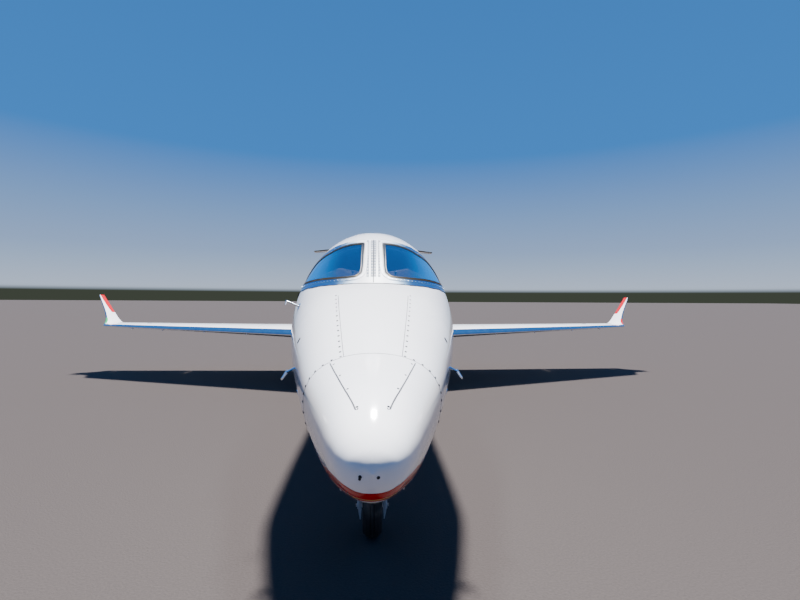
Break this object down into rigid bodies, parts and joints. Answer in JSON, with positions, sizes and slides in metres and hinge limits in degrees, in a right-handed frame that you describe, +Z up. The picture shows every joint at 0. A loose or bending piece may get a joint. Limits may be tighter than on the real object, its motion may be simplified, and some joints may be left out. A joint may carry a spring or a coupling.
{
  "type": "twin-engine business jet",
  "caption": "Twin-engine business jet with swept wings, winglets and a T-tail, parked on its wheels, with working control surfaces, fans, steering and cabin door.",
  "frame": {"origin": "on the ground, under the middle of the overall length, on the centreline", "axes": "+Y from nose to tail, +X to the aircraft's left, where the passenger door is, +Z up"},
  "size_m": [14.5096, 17.4, 4.045],
  "materials": {
    "white_paint": "gloss",
    "polished_metal": "polished",
    "window_glass": "gloss",
    "trim_grey": "matte",
    "carpet": "matte",
    "seat_leather": "satin",
    "engine_metal": "satin",
    "fan_metal": "satin",
    "gear_grey": "satin",
    "wheel_grey": "satin",
    "tyre_rubber": "matte"
  },
  "bodies": {
    "airframe": {"radome": "white_paint", "nose_section": "white_paint", "cabin_shell": "white_paint", "tail_cone": "white_paint", "windshield_frame": "polished_metal", "windshield_left": "window_glass", "windshield_right": "window_glass", "cabin_glass_left": "window_glass", "cabin_glass_right": "window_glass", "instrument_panel": "trim_grey", "cabin_floor": "carpet", "crew_seats": "seat_leather", "cabin_seats": "seat_leather", "belly_fairing": "white_paint", "wing_left": "white_paint", "wing_right": "white_paint", "winglet_left": "white_paint", "winglet_right": "white_paint", "nacelle_left": "white_paint", "nacelle_right": "white_paint", "engine_core_left": "engine_metal", "engine_core_right": "engine_metal", "pylon_left": "white_paint", "pylon_right": "white_paint", "fin": "white_paint", "stabilizer": "white_paint", "ventral_fin_left": "white_paint", "ventral_fin_right": "white_paint", "nose_leg": "gear_grey", "nose_door_left": "white_paint", "nose_door_right": "white_paint", "main_leg_left": "gear_grey", "main_leg_right": "gear_grey", "main_door_left": "white_paint", "main_door_right": "white_paint", "pitot_left": "polished_metal", "pitot_right": "polished_metal"},
    "upper_door": {"door_upper": "white_paint", "door_window": "window_glass"},
    "lower_door": {"door_lower": "white_paint"},
    "left_flap": {"flap_left": "white_paint"},
    "right_flap": {"flap_right": "white_paint"},
    "left_aileron": {"aileron_left": "white_paint"},
    "right_aileron": {"aileron_right": "white_paint"},
    "left_elevator": {"elevator_left": "white_paint"},
    "right_elevator": {"elevator_right": "white_paint"},
    "rudder": {"rudder": "white_paint"},
    "left_fan": {"fan_left": "fan_metal"},
    "right_fan": {"fan_right": "fan_metal"},
    "steering": {"nose_fork": "gear_grey"},
    "nose_wheel": {"nose_tyre": "tyre_rubber", "nose_rim": "wheel_grey"},
    "left_main_wheels": {"main_hub_left": "wheel_grey", "main_tyre_inner_left": "tyre_rubber", "main_tyre_outer_left": "tyre_rubber"},
    "right_main_wheels": {"main_hub_right": "wheel_grey", "main_tyre_inner_right": "tyre_rubber", "main_tyre_outer_right": "tyre_rubber"}
  },
  "joints": [
    {"name": "door_upper_hinge", "type": "hinge", "parent": "airframe", "child": "upper_door", "pos_m": [0.52266, -4.87, 2.484], "axis": [-0.0585, -0.9983, 0], "range_deg": [0, 100]},
    {"name": "door_lower_hinge", "type": "hinge", "parent": "airframe", "child": "lower_door", "pos_m": [0.77262, -4.87, 1.158], "axis": [-0.0127, 0.9999, 0], "range_deg": [0, 126]},
    {"name": "flap_left_hinge", "type": "hinge", "parent": "airframe", "child": "left_flap", "pos_m": [1.15, 1.00199, 1.1172], "axis": [-0.9931, -0.1169, -0.0117], "range_deg": [0, 40]},
    {"name": "flap_right_hinge", "type": "hinge", "parent": "airframe", "child": "right_flap", "pos_m": [-1.15, 1.00199, 1.1172], "axis": [-0.9931, 0.1169, 0.0117], "range_deg": [0, 40]},
    {"name": "aileron_left_hinge", "type": "hinge", "parent": "airframe", "child": "left_aileron", "pos_m": [4.65, 1.44782, 1.15771], "axis": [-0.993, -0.117, -0.0138], "range_deg": [-18, 18]},
    {"name": "aileron_right_hinge", "type": "hinge", "parent": "airframe", "child": "right_aileron", "pos_m": [-4.65, 1.44782, 1.15771], "axis": [-0.993, 0.117, 0.0138], "range_deg": [-18, 18]},
    {"name": "elevator_left_hinge", "type": "hinge", "parent": "airframe", "child": "left_elevator", "pos_m": [0.23, 7.71154, 3.91798], "axis": [-0.9464, -0.3191, 0.0494], "range_deg": [-20, 15]},
    {"name": "elevator_right_hinge", "type": "hinge", "parent": "airframe", "child": "right_elevator", "pos_m": [-0.23, 7.71154, 3.91798], "axis": [-0.9464, 0.3191, -0.0494], "range_deg": [-20, 15]},
    {"name": "rudder_hinge", "type": "hinge", "parent": "airframe", "child": "rudder", "pos_m": [0, 6.63586, 2.78], "axis": [0, 0.5981, 0.8014], "range_deg": [-25, 25]},
    {"name": "fan_left_spin", "type": "hinge", "parent": "airframe", "child": "left_fan", "pos_m": [1.4, 2.6, 2.15], "axis": [0, 1, 0], "continuous": true},
    {"name": "fan_right_spin", "type": "hinge", "parent": "airframe", "child": "right_fan", "pos_m": [-1.4, 2.6, 2.15], "axis": [0, 1, 0], "continuous": true},
    {"name": "nose_steer", "type": "hinge", "parent": "airframe", "child": "steering", "pos_m": [0, -6.838, 0.5], "axis": [0, 0, 1], "range_deg": [-60, 60]},
    {"name": "nose_wheel_spin", "type": "hinge", "parent": "steering", "child": "nose_wheel", "pos_m": [0, -6.8, 0.22803], "axis": [1, 0, 0], "continuous": true},
    {"name": "main_wheel_left_spin", "type": "hinge", "parent": "airframe", "child": "left_main_wheels", "pos_m": [1.42, 1.15, 0.2776], "axis": [1, 0, 0], "continuous": true},
    {"name": "main_wheel_right_spin", "type": "hinge", "parent": "airframe", "child": "right_main_wheels", "pos_m": [-1.42, 1.15, 0.2776], "axis": [1, 0, 0], "continuous": true}
  ],
  "couplings": [
    {"joint": "flap_right_hinge", "follows": "flap_left_hinge", "ratio": 1},
    {"joint": "aileron_right_hinge", "follows": "aileron_left_hinge", "ratio": -1},
    {"joint": "elevator_right_hinge", "follows": "elevator_left_hinge", "ratio": 1}
  ]
}
